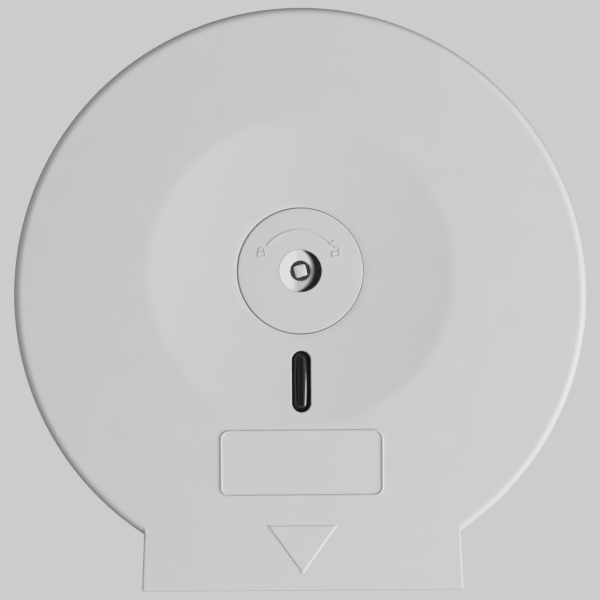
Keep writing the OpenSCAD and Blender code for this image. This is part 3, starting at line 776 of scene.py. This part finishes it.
def lock_disc():
    """The disc with its pocket for the cup, its spigot and three screw bosses behind."""
    pocket_r = CUP_R + CUP_LIP + POCKET_GAP
    flat_r = BEZEL_R - BEZEL_EDGE_R
    face_r = pocket_r + POCKET_EDGE
    edge_z = crown_at(flat_r) - BEZEL_EDGE_R
    outline = [(KEY_HOLE_R, CUP_BACK), (pocket_r, CUP_BACK), (pocket_r, crown_at(pocket_r) - POCKET_EDGE)]
    face = [face_r + (flat_r - face_r) * i / FACE_STEPS for i in range(FACE_STEPS + 1)]
    outline += [(r, crown_at(r)) for r in face]
    outline += arc((flat_r, edge_z), BEZEL_EDGE_R, 90, 0, steps=6)[1:]
    outline += [(BEZEL_R, BEZEL_SEAT), (SPIGOT_R, BEZEL_SEAT), (SPIGOT_R, SPIGOT_END)]
    outline.append((KEY_HOLE_R, SPIGOT_END))
    disc = turned("lock_disc", outline, segments=192)
    bosses = rod("bosses", BOSS_R, PAD_BACK, BEZEL_SEAT + BOSS_ROOT)
    combine(disc, copies(bosses, around(BOSS_RING_R, BOSS_ANGLES)), "UNION")
    holes = rod("holes", BOSS_BORE_R, PAD_BACK - 1, BEZEL_SEAT + BOSS_BORE_END)
    combine(disc, copies(holes, around(BOSS_RING_R, BOSS_ANGLES)), "DIFFERENCE")
    return hang(disc, smooth=30)


def key_cup():
    """The polished bowl with a narrow rolled lip, rounded into the key hole."""
    ball = cap_ball(CUP_R, CUP_DEPTH)
    middle = BEZEL_FACE - CUP_DEPTH + ball
    round_x = KEY_HOLE_R + KEY_HOLE_EDGE_R
    round_z = middle - math.sqrt((ball + KEY_HOLE_EDGE_R) ** 2 - round_x ** 2)
    low = math.degrees(math.asin(round_x / (ball + KEY_HOLE_EDGE_R)))
    high = math.degrees(math.asin((CUP_R - CUP_EDGE) / ball))
    lip_r = CUP_R + CUP_LIP
    outline = [(KEY_HOLE_R, CUP_BACK)]
    outline += arc((round_x, round_z), KEY_HOLE_EDGE_R, 180, 90 + low, steps=8)
    outline += arc((0, middle), ball, low - 90, high - 90, steps=28)[1:]
    outline += [(CUP_R + CUP_EDGE, BEZEL_FACE), (lip_r - CUP_EDGE, BEZEL_FACE)]
    outline += [(lip_r, BEZEL_FACE - CUP_EDGE), (lip_r, CUP_BACK)]
    return hang(turned("key_cup_bowl", outline, segments=192), smooth=40)


# ---- Sight window ----

BARREL_STEPS = 14


def window_lens():
    """A smoked barrel that bows along the slot, cut flat behind and set on a flange with ears."""
    body_r, half_l = WINDOW_W / 2 - FIT_GAP, WINDOW_H / 2 - FIT_GAP
    bow_x, short = LENS_BOW_R - body_r, LENS_BOW_R - half_l
    end_y = (bow_x ** 2 - short ** 2) / (2 * short)
    end_r = half_l - end_y
    touch = end_y * LENS_BOW_R / (LENS_BOW_R - end_r)
    side = [touch * i / BARREL_STEPS for i in range(BARREL_STEPS + 1)]
    upper = [(math.sqrt(LENS_BOW_R ** 2 - y * y) - bow_x, y) for y in side]
    start = math.acos((touch - end_y) / end_r)
    end = [start * (1 - i / BARREL_STEPS) for i in range(1, BARREL_STEPS)]
    upper += [(end_r * math.sin(a), end_y + end_r * math.cos(a)) for a in end]
    upper.append((LENS_POLE_R, end_y + end_r))
    outline = [(r, -y) for r, y in upper[:0:-1]] + upper
    lens = turned("sight_lens", outline, segments=128, closed=False)
    set_in_place(lens, Matrix.Translation((0, 0, -LENS_RECESS - body_r)) @ Matrix.Rotation(QUARTER, 4, "X"))
    bpy.ops.object.mode_set(mode="EDIT")
    bpy.ops.mesh.select_all(action="SELECT")
    bpy.ops.mesh.bisect(plane_co=(0, 0, LENS_SEAT - LENS_FLANGE_T / 2), plane_no=(0, 0, 1),
                        clear_inner=True, use_fill=True)
    bpy.ops.object.mode_set(mode="OBJECT")
    back = LENS_SEAT - LENS_FLANGE_T
    flange = eared_bar("flange", 0, back, LENS_SEAT)
    for side in (-1, 1):
        hole = rod("peg_hole", LENS_PEG_R + LENS_PEG_GAP, back - 1, LENS_SEAT + 1)
        combine(flange, set_in_place(hole, Matrix.Translation((side * LENS_PEG_X, 0, 0))), "DIFFERENCE")
    combine(lens, flange, "UNION")
    return hang(set_in_place(lens, window_frame()), smooth=30)


# ---- Raised signs on the lock disc ----

# The arc's centre lies a little below the disc's. A padlock is drawn about a point of its own body.

SIGN_LINE = 0.55
SIGN_RISE = 0.32
SIGN_ROOT = 0.15
SIGN_RING_R = 19.9
SIGN_RING_LINE = 0.8
SIGN_RING_DROP = 0.7
SIGN_RING_FROM = 41.5
SIGN_RING_TO = 141.0
SIGN_HEAD_R = 1.8
SIGN_HEAD_AT = 39.5
SIGN_EDGE = 0.12
LOCK_HALF = 1.9
LOCK_LOW = -2.3
LOCK_TOP = 0.3
BOW_R = 1.2
BOW_AT = 0.95
BOW_FOOT = 0.1
BOW_FREE_FOOT = 0.6
BOW_SWING = 28
CLOSED_AT = (-18.1, 8.8, 0)
OPENED_AT = (16.9, 8.7, 0)


def sign_arc(radius, start, end, steps=40, line=SIGN_LINE):
    """A flat line along an arc round the z axis, angles in degrees from +x."""
    deselect()
    bpy.ops.mesh.primitive_plane_add(size=1)
    piece = named("sign_arc")
    corners = [(-1, 0), (1, 0), (-1, 1), (1, 1)]
    for vert, (across, up) in zip(piece.data.vertices, corners):
        vert.co = (radius + across * line / 2, 0, up * (SIGN_ROOT + SIGN_RISE))
    set_in_place(piece, Matrix.Rotation(math.radians(start), 4, "Z"))
    bpy.ops.object.mode_set(mode="EDIT")
    bpy.ops.mesh.select_all(action="SELECT")
    bpy.ops.mesh.delete(type="ONLY_FACE")
    bpy.ops.mesh.select_all(action="SELECT")
    bpy.ops.mesh.spin(steps=steps, angle=math.radians(start - end), center=(0, 0, 0), axis=(0, 0, 1))
    bpy.ops.mesh.select_all(action="SELECT")
    bpy.ops.mesh.fill_holes(sides=4)
    bpy.ops.object.mode_set(mode="OBJECT")
    return recalculate(piece)


def sign_block(name, x0, y0, x1, y1):
    """A flat bar as high as the signs."""
    return block(name, (x0, y0, 0), (x1, y1, SIGN_ROOT + SIGN_RISE))


def padlock_sign(swing):
    """Outline of a padlock; the bow is swung open about its right leg by an angle."""
    body = sign_block("padlock", -LOCK_HALF, LOCK_LOW, LOCK_HALF, LOCK_TOP)
    inner_x = LOCK_HALF - SIGN_LINE
    inner = block("inner", (-inner_x, LOCK_LOW + SIGN_LINE, -1), (inner_x, LOCK_TOP - SIGN_LINE, 1))
    combine(body, inner, "DIFFERENCE")
    bow = set_in_place(sign_arc(BOW_R, 0, 180, steps=20), Matrix.Translation((0, BOW_AT, 0)))
    for side in (-1, 1):
        low = BOW_FOOT if side > 0 or not swing else BOW_FREE_FOOT
        leg = sign_block("leg", side * BOW_R - SIGN_LINE / 2, low, side * BOW_R + SIGN_LINE / 2, BOW_AT)
        bow = join([bow, leg], "bow")
    pivot = Matrix.Translation((BOW_R, LOCK_TOP, 0))
    set_in_place(bow, pivot @ Matrix.Rotation(-math.radians(swing), 4, "Z") @ pivot.inverted())
    return join([body, bow], "padlock")


def lock_signs():
    """From the closed padlock an arrow runs round to the open one."""
    turn_arc = sign_arc(SIGN_RING_R, SIGN_RING_FROM, SIGN_RING_TO, steps=60, line=SIGN_RING_LINE)
    set_in_place(turn_arc, Matrix.Translation((0, -SIGN_RING_DROP, 0)))
    deselect()
    bpy.ops.mesh.primitive_cylinder_add(vertices=3, radius=SIGN_HEAD_R, depth=SIGN_ROOT + SIGN_RISE,
                                        location=(0, 0, (SIGN_ROOT + SIGN_RISE) / 2))
    head = named("head")
    place = Matrix.Rotation(math.radians(SIGN_HEAD_AT), 4, "Z") @ Matrix.Translation((SIGN_RING_R, 0, 0))
    set_in_place(head, place @ Matrix.Rotation(TURN / 2, 4, "Z"))
    closed = set_in_place(padlock_sign(0), Matrix.Translation(CLOSED_AT))
    opened = set_in_place(padlock_sign(BOW_SWING), Matrix.Translation(OPENED_AT))
    signs = join([turn_arc, head, closed, opened], "lock_signs")
    for vert in signs.data.vertices:
        vert.co.z += crown_at(vert.co.xy.length) - SIGN_ROOT
    bevel(signs, SIGN_EDGE, segments=3, angle=50)
    return hang(signs, smooth=40)


# ---- Finishes ----
# Every finish is drawn in the object's own metres, so a piece keeps it wherever its body goes.

NOISE_SPREAD = (0.3, 0.7)
MOULDED_GRAIN = 0.004 * MM
POLISHED_GRAIN = 0.0005 * MM


def nodes_of(material):
    material.use_nodes = True
    return material.node_tree.nodes, material.node_tree.links


def noise_of(nodes, links, scale, detail=4.0, stretch=(1, 1, 1)):
    """Noise that stays with the object."""
    where = nodes.new("ShaderNodeTexCoord")
    mapping = nodes.new("ShaderNodeMapping")
    mapping.inputs["Scale"].default_value = stretch
    noise = nodes.new("ShaderNodeTexNoise")
    noise.inputs["Scale"].default_value = scale
    noise.inputs["Detail"].default_value = detail
    links.new(where.outputs["Object"], mapping.inputs["Vector"])
    links.new(mapping.outputs["Vector"], noise.inputs["Vector"])
    return noise.outputs["Fac"]


def spread(nodes, links, value, low, high):
    """Stretches the noise's usual values over a range."""
    reach = nodes.new("ShaderNodeMapRange")
    reach.inputs["From Min"].default_value, reach.inputs["From Max"].default_value = NOISE_SPREAD
    reach.inputs["To Min"].default_value = low
    reach.inputs["To Max"].default_value = high
    links.new(value, reach.inputs["Value"])
    return reach.outputs["Result"]


def make_finish(name, colour, roughness, metallic=0.0, shift=0.01, rough_shift=0.03, cloud=60.0,
                grain=2500.0, grain_height=MOULDED_GRAIN, stretch=(1, 1, 1), ior=1.5):
    """A moulded or metal surface: cloudy colour, uneven gloss and a fine grain."""
    material = bpy.data.materials.new(name)
    nodes, links = nodes_of(material)
    shader = nodes["Principled BSDF"]
    shader.inputs["Metallic"].default_value = metallic
    shader.inputs["IOR"].default_value = ior
    clouds = noise_of(nodes, links, cloud)
    mix = nodes.new("ShaderNodeMix")
    mix.data_type = "RGBA"
    mix.inputs["A"].default_value = [c * (1 - shift) for c in colour] + [1]
    mix.inputs["B"].default_value = [c * (1 + shift) for c in colour] + [1]
    links.new(spread(nodes, links, clouds, 0, 1), mix.inputs["Factor"])
    links.new(mix.outputs["Result"], shader.inputs["Base Color"])
    grains = noise_of(nodes, links, grain, detail=2.0, stretch=stretch)
    links.new(spread(nodes, links, grains, roughness - rough_shift, roughness + rough_shift),
              shader.inputs["Roughness"])
    bump = nodes.new("ShaderNodeBump")
    bump.inputs["Distance"].default_value = grain_height
    links.new(grains, bump.inputs["Height"])
    links.new(bump.outputs["Normal"], shader.inputs["Normal"])
    return material


WHITE = make_finish("white_abs", (0.60, 0.60, 0.60), 0.35)
GREY = make_finish("grey_abs", (0.36, 0.37, 0.38), 0.42, shift=0.02)
SMOKE = make_finish("smoked_plastic", (0.003, 0.003, 0.0033), 0.15, shift=0.05, rough_shift=0.02,
                    grain_height=POLISHED_GRAIN, ior=1.585)
ZINC = make_finish("zinc", (0.62, 0.62, 0.63), 0.32, metallic=1.0, shift=0.03, rough_shift=0.05,
                   cloud=300.0)
POLISHED = make_finish("polished_zinc", (0.92, 0.92, 0.92), 0.11, metallic=1.0, rough_shift=0.02,
                       cloud=300.0, grain_height=POLISHED_GRAIN)
STEEL = make_finish("brushed_steel", (0.56, 0.57, 0.58), 0.30, metallic=1.0, shift=0.02,
                    rough_shift=0.06, cloud=200.0, grain=900.0, stretch=(1, 1, 9))
NYLON = make_finish("nylon", (0.78, 0.77, 0.73), 0.45, shift=0.015)


# Depths, in the core's own metres, over which its colour turns from the bright key square to the darker
# flange: painted shade deeper in the key hole
SHADE_DEPTH_FROM = -110.5 * MM
SHADE_DEPTH_TO = -112.5 * MM
SQUARE_COLOUR = (0.88, 0.88, 0.88)
FLANGE_PAINTED_SHADE = (0.70, 0.70, 0.70, 1)


def core_finish():
    """Zinc painted bright on the key square and darker on the flange and what lies behind it: painted shade
    deeper in the key hole.
    """
    material = make_finish("lock_core_zinc_painted_shade", SQUARE_COLOUR, 0.65, metallic=1.0, shift=0.02, cloud=300.0)
    nodes, links = nodes_of(material)
    shader = nodes["Principled BSDF"]
    bright = shader.inputs["Base Color"].links[0].from_socket
    where = nodes.new("ShaderNodeTexCoord")
    split = nodes.new("ShaderNodeSeparateXYZ")
    depth = nodes.new("ShaderNodeMapRange")
    depth.inputs["From Min"].default_value = SHADE_DEPTH_FROM
    depth.inputs["From Max"].default_value = SHADE_DEPTH_TO
    mix = nodes.new("ShaderNodeMix")
    mix.data_type = "RGBA"
    mix.inputs["A"].default_value = FLANGE_PAINTED_SHADE
    links.new(where.outputs["Object"], split.inputs["Vector"])
    links.new(split.outputs["Y"], depth.inputs["Value"])
    links.new(depth.outputs["Result"], mix.inputs["Factor"])
    links.new(bright, mix.inputs["B"])
    links.new(mix.outputs["Result"], shader.inputs["Base Color"])
    return material


CORE = core_finish()
FINISH_OF_SLOT = {"white_plastic": WHITE, "grey_plastic": GREY, "smoked_plastic": SMOKE, "zinc": ZINC,
                  "steel": STEEL, "nylon": NYLON}

for subpart in frame["record"]["subparts"]:
    mesh = frame["nodes"][subpart["node"]].data
    mesh.materials.clear()
    mesh.materials.append(FINISH_OF_SLOT[subpart["material_slot"]])


# ---- Pieces on their bodies ----

SQUARE_ROOT = -105.7 * MM
SQUARE_REACH = 4.4 * MM
SQUARE_WEAR = 0.95
# Width and segments of a bevel, and whether it goes on the upright corners or on the end edges
SQUARE_ROUNDING = ((1.1, 6, True), (0.35, 3, False))
UPRIGHT = 0.9
END_REACH = 0.01 * MM
MERGE_GAP = 0.001 * MM
FLAT_ANGLE = math.radians(0.2)
SMOOTH_ANGLE = math.radians(30)


def on_square(co):
    """Whether a place of the lock core is on its key square."""
    return co.y < SQUARE_ROOT and max(abs(co.x), abs(co.z)) < SQUARE_REACH


def soften_square(piece):
    """Wears the key square narrower and rounds its upright corners well and its end edges a little."""
    take(piece)
    bpy.ops.object.mode_set(mode="EDIT")
    select_where(on_square)
    bpy.ops.transform.resize(value=(SQUARE_WEAR, 1, SQUARE_WEAR), center_override=(0, 0, 0))
    end_y = min(vert.co.y for vert in bmesh.from_edit_mesh(piece.data).verts)
    for width, segments, upright in SQUARE_ROUNDING:
        bpy.ops.mesh.select_all(action="DESELECT")
        bpy.ops.mesh.select_mode(type="EDGE")
        mesh = bmesh.from_edit_mesh(piece.data)
        for edge in mesh.edges:
            ends = [vert.co for vert in edge.verts]
            if not all(on_square(co) for co in ends):
                continue
            along = abs(ends[0].y - ends[1].y) > edge.calc_length() * UPRIGHT
            at_end = all(co.y < end_y + END_REACH for co in ends)
            if (along if upright else at_end):
                edge.select_set(True)
        bmesh.update_edit_mesh(piece.data)
        bpy.ops.mesh.bevel(offset=width * MM, segments=segments, affect="EDGES")
    bpy.ops.mesh.select_mode(type="VERT")
    bpy.ops.object.mode_set(mode="OBJECT")


def smooth_copy(node, body, slot):
    """The CAD node's own form, its facets merged and its round walls smoothed."""
    copy = take(placed(node + "_smooth", frame["nodes"][node].data.copy()))
    bpy.ops.mesh.customdata_custom_splitnormals_clear()
    bpy.ops.object.mode_set(mode="EDIT")
    bpy.ops.mesh.select_all(action="SELECT")
    bpy.ops.mesh.remove_doubles(threshold=MERGE_GAP)
    bpy.ops.mesh.dissolve_limited(angle_limit=FLAT_ANGLE)
    bpy.ops.object.mode_set(mode="OBJECT")
    if node == "lock_core":
        soften_square(copy)
    bpy.ops.object.shade_smooth_by_angle(angle=SMOOTH_ANGLE)
    return dress(copy, body, slot, CORE if node == "lock_core" else FINISH_OF_SLOT[slot], node)


dress(front_cover(), "cover", "white_plastic", WHITE, "front_cover")
dress(lock_disc(), "cover", "white_plastic", WHITE, "lock_bezel")
dress(lock_signs(), "cover", "white_plastic", WHITE)
dress(key_cup(), "cover", "zinc", POLISHED, "key_cup")
LENS = dress(window_lens(), "cover", "smoked_plastic", SMOKE, "window_lens")

DRAWN = {"front_cover", "lock_bezel", "key_cup", "window_lens"}
BODIES = frame["record"]["behaviour"]["bodies"]
BODY_OF = {node: body for body, members in BODIES.items() for node in members}
METAL = []
for subpart in frame["record"]["subparts"]:
    node, slot = subpart["node"], subpart["material_slot"]
    if node not in DRAWN:
        copy = smooth_copy(node, BODY_OF[node], slot)
        if slot in ("steel", "zinc"):
            METAL.append(copy)


# ---- Camera ----

scene = bpy.context.scene
scene.view_settings.view_transform = "Standard"
VIEW_OUT = 0.113
VIEW_DISTANCE = 2.5
VIEW_WIDTH = 0.28265
VIEW_CENTRE = (-0.0003, -0.0137)
VIEW_ROLL = math.radians(-0.45)
SENSOR = 36.0

lens_data = bpy.data.cameras.new("camera")
lens_data.sensor_width = SENSOR
lens_data.lens = SENSOR * VIEW_DISTANCE / VIEW_WIDTH
camera = bpy.data.objects.new("camera", lens_data)
scene.collection.objects.link(camera)
camera.matrix_world = (Matrix.Translation((VIEW_CENTRE[0], -VIEW_OUT - VIEW_DISTANCE, VIEW_CENTRE[1]))
                       @ Matrix.Rotation(QUARTER, 4, "X") @ Matrix.Rotation(VIEW_ROLL, 4, "Z"))
scene.camera = camera


# ---- Light and stage ----

def sun(name, towards, strength, angle):
    """A sun that shines from a direction of the frame."""
    data = bpy.data.lights.new(name, "SUN")
    data.energy = strength
    data.angle = math.radians(angle)
    light = bpy.data.objects.new(name, data)
    scene.collection.objects.link(light)
    light.rotation_euler = Vector(towards).to_track_quat("Z", "Y").to_euler()
    return light


KEY_FROM = (0.855, -0.439, -0.275)
GLEAM_FROM = (0.872, -0.448, -0.197)
BACK_FROM = (0, 0.97, 0.25)
sun("key", KEY_FROM, strength=3.05, angle=34).visible_glossy = False
sun("back", BACK_FROM, strength=2.4, angle=30).visible_glossy = False
gleam = sun("gleam", GLEAM_FROM, strength=3.14, angle=34)
gleam.visible_diffuse = False

# The key's own reflection only shows on the lens and the metal inside; the polished cup shows the room
shiny = bpy.data.collections.new("shiny")
for piece in [LENS] + METAL:
    shiny.objects.link(piece)
gleam.light_linking.receiver_collection = shiny

# What the room sends depends on the ray. Diffuse light comes from the front. Reflections see a dim front,
# bright cards to the right and below, and a black flag low on the left. The camera sees a pale grey.
SEEN = 0.604
FRONT_FILL = 0.857
MIRRORED = {"room": 0.55, "right": 0.25, "below": 0.16, "front": 0.18, "flag": 0.012}
CARD_EDGE = (0.1, 0.5)
FRONT_EDGE = (0.8, 0.93)
FLAG_EDGE = (0.5, 1.15)
FLAG_TILT = math.radians(7)
FLAG_REACH = 0.15
LEAST = 0.001


class Room:
    """Small helpers that add the world's arithmetic nodes."""

    def __init__(self, tree):
        self.nodes, self.links = tree.nodes, tree.links

    def feed(self, socket, value):
        if isinstance(value, bpy.types.NodeSocket):
            self.links.new(value, socket)
        else:
            socket.default_value = value

    def maths(self, operation, first, second=0.0, third=0.0):
        node = self.nodes.new("ShaderNodeMath")
        node.operation = operation
        for socket, value in zip(node.inputs, (first, second, third)):
            self.feed(socket, value)
        return node.outputs["Value"]

    def along(self, ray, axis):
        node = self.nodes.new("ShaderNodeVectorMath")
        node.operation = "DOT_PRODUCT"
        self.links.new(ray, node.inputs[0])
        node.inputs[1].default_value = axis
        return node.outputs["Value"]

    def ramp(self, value, start, end, low, high):
        node = self.nodes.new("ShaderNodeMapRange")
        node.interpolation_type = "SMOOTHSTEP"
        for name, amount in (("Value", value), ("From Min", start), ("From Max", end), ("To Min", low),
                             ("To Max", high)):
            self.feed(node.inputs[name], amount)
        return node.outputs["Result"]

    def blend(self, share, first, second):
        return self.maths("MULTIPLY_ADD", share, self.maths("SUBTRACT", second, first), first)


world = bpy.data.worlds.new("room")
scene.world = world
world.use_nodes = True
room = Room(world.node_tree)
ray = room.nodes.new("ShaderNodeTexCoord").outputs["Generated"]
out_part = room.along(ray, (0, -1, 0))
left_part = room.along(ray, (-math.cos(FLAG_TILT), 0, math.sin(FLAG_TILT)))
left_part = room.maths("ADD", left_part, FLAG_REACH)
diffuse = room.maths("MULTIPLY", room.maths("MAXIMUM", out_part, 0.0), FRONT_FILL)
brightest = MIRRORED["room"] + MIRRORED["right"]
from_right = room.ramp(room.along(ray, (1, 0, 0)), *CARD_EDGE, MIRRORED["room"], brightest)
from_below = room.ramp(room.along(ray, (0, 0, -1)), *CARD_EDGE, 0.0, MIRRORED["below"])
mirrored = room.maths("MINIMUM", room.maths("ADD", from_right, from_below), brightest)
mirrored = room.blend(room.ramp(out_part, *FRONT_EDGE, 0.0, 1.0), mirrored, MIRRORED["front"])
slope = room.maths("DIVIDE", out_part, room.maths("MAXIMUM", left_part, LEAST))
flagged = room.ramp(slope, *FLAG_EDGE, 1.0, 0.0)
mirrored = room.blend(flagged, mirrored, MIRRORED["flag"])
path = room.nodes.new("ShaderNodeLightPath")
level = room.blend(path.outputs["Is Glossy Ray"], SEEN, mirrored)
level = room.blend(path.outputs["Is Diffuse Ray"], level, diffuse)
room.feed(room.nodes["Background"].inputs["Strength"], level)
room.nodes["Background"].inputs["Color"].default_value = (1, 1, 1, 1)

FLOOR_Z = -0.6
FLOOR_SIZE = 3.2
FLOOR_FADE = (0.5, 1.5)
FLOOR_GLOW = 0.24
FLOOR_TONES = ((0.62, 0.62, 0.62, 1), (0.64, 0.64, 0.64, 1))
FLOOR_CLOUD = 8.0
FLOOR_ROUGHNESS = 0.9
WALL_SHADE = 0.05
WALL_GAP = 0.5 * MM


def stage_plane(name, size, place, seen_by):
    """A flat square of the stage that only the named kinds of ray can see."""
    deselect()
    bpy.ops.mesh.primitive_plane_add(size=size)
    piece = set_in_place(named(name), place)
    for ray in ("camera", "diffuse", "glossy", "transmission", "shadow"):
        setattr(piece, "visible_" + ray, ray in seen_by)
    material = bpy.data.materials.new(name)
    piece.data.materials.append(material)
    return nodes_of(material)


def see_through(nodes, links, share, surface):
    """Lets what lies behind show through a stage plane by a share."""
    mix = nodes.new("ShaderNodeMixShader")
    links.new(share, mix.inputs["Fac"])
    links.new(surface, mix.inputs[1])
    links.new(nodes.new("ShaderNodeBsdfTransparent").outputs["BSDF"], mix.inputs[2])
    links.new(mix.outputs["Shader"], nodes["Material Output"].inputs["Surface"])


def floor():
    """A pale floor that fades into the room round it."""
    nodes, links = stage_plane("floor", FLOOR_SIZE, Matrix.Translation((0, 0, FLOOR_Z)), ("camera",))
    surface = nodes["Principled BSDF"]
    surface.inputs["Roughness"].default_value = FLOOR_ROUGHNESS
    surface.inputs["Emission Color"].default_value = (1, 1, 1, 1)
    surface.inputs["Emission Strength"].default_value = FLOOR_GLOW
    tint = nodes.new("ShaderNodeMix")
    tint.data_type = "RGBA"
    tint.inputs["A"].default_value, tint.inputs["B"].default_value = FLOOR_TONES
    links.new(noise_of(nodes, links, FLOOR_CLOUD), tint.inputs["Factor"])
    links.new(tint.outputs["Result"], surface.inputs["Base Color"])
    reach = nodes.new("ShaderNodeVectorMath")
    reach.operation = "LENGTH"
    links.new(nodes.new("ShaderNodeTexCoord").outputs["Object"], reach.inputs[0])
    fade = nodes.new("ShaderNodeMapRange")
    fade.interpolation_type = "SMOOTHSTEP"
    fade.inputs["From Min"].default_value, fade.inputs["From Max"].default_value = FLOOR_FADE
    links.new(reach.outputs["Value"], fade.inputs["Value"])
    see_through(nodes, links, fade.outputs["Result"], surface.outputs["BSDF"])


def shaded_wall():
    """The shaded wall behind the dispenser, one-sided and met only by its reflections."""
    place = Matrix.Translation((0, WALL_GAP, 0)) @ Matrix.Rotation(QUARTER, 4, "X")
    nodes, links = stage_plane("shaded_wall", 1.0, place, ("glossy",))
    glow = nodes.new("ShaderNodeEmission")
    glow.inputs["Strength"].default_value = WALL_SHADE
    back = nodes.new("ShaderNodeNewGeometry").outputs["Backfacing"]
    see_through(nodes, links, back, glow.outputs["Emission"])


floor()
shaded_wall()
